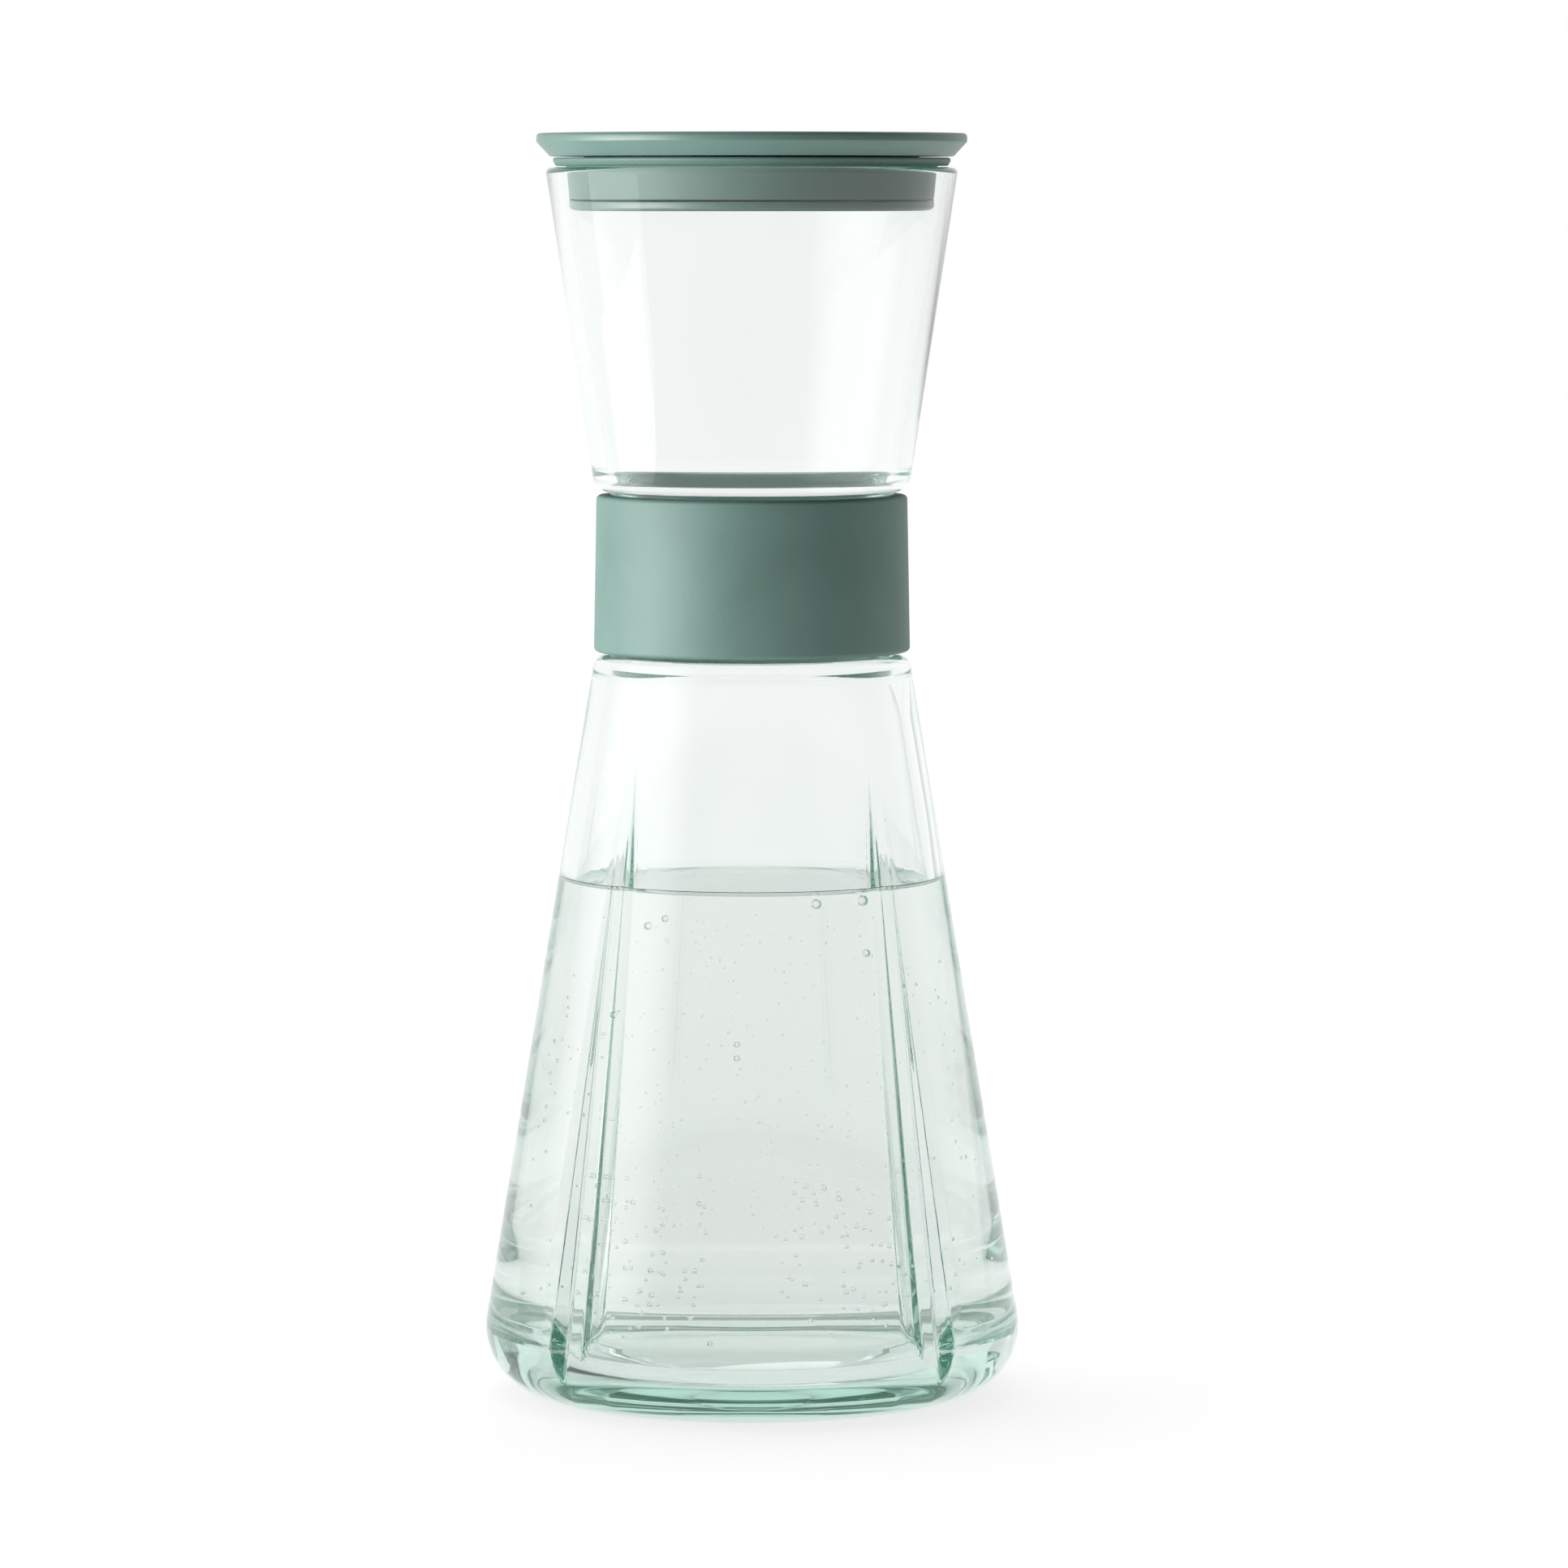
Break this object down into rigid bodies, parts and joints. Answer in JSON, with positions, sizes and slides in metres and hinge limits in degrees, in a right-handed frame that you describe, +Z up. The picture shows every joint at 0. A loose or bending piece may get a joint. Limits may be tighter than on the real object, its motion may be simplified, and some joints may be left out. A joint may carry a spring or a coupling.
{
  "type": "table carafe with lid",
  "caption": "Hourglass glass carafe with a wide conical body, upright grooves, a soft band round its slim neck and a lift-off lid that plugs the flared mouth; holds and pours water.",
  "frame": {"origin": "middle of the foot ring, on the table", "axes": "+Z up along the carafe's axis, towards the lid; -Y towards the viewer of the picture, with grooves half-way between X and Y"},
  "size_m": [0.1126, 0.1126, 0.2652],
  "materials": {
    "glass": "clear with a faint green tint, fire-polished",
    "band": "matte silicone, muted grey-green",
    "cap": "matte, muted grey-green",
    "seal": "matte silicone, muted grey-green",
    "plug": "matte, muted grey-green"
  },
  "bodies": {
    "carafe": {"carafe_glass": "glass", "neck_band": "band"},
    "lid": {"lid_cap": "cap", "lid_seal": "seal", "lid_plug": "plug"}
  },
  "joints": [
    {"name": "lid_lift", "type": "slide", "parent": "carafe", "child": "lid", "axis": [0, 0, 1], "range_m": [0, 0.05]}
  ]
}
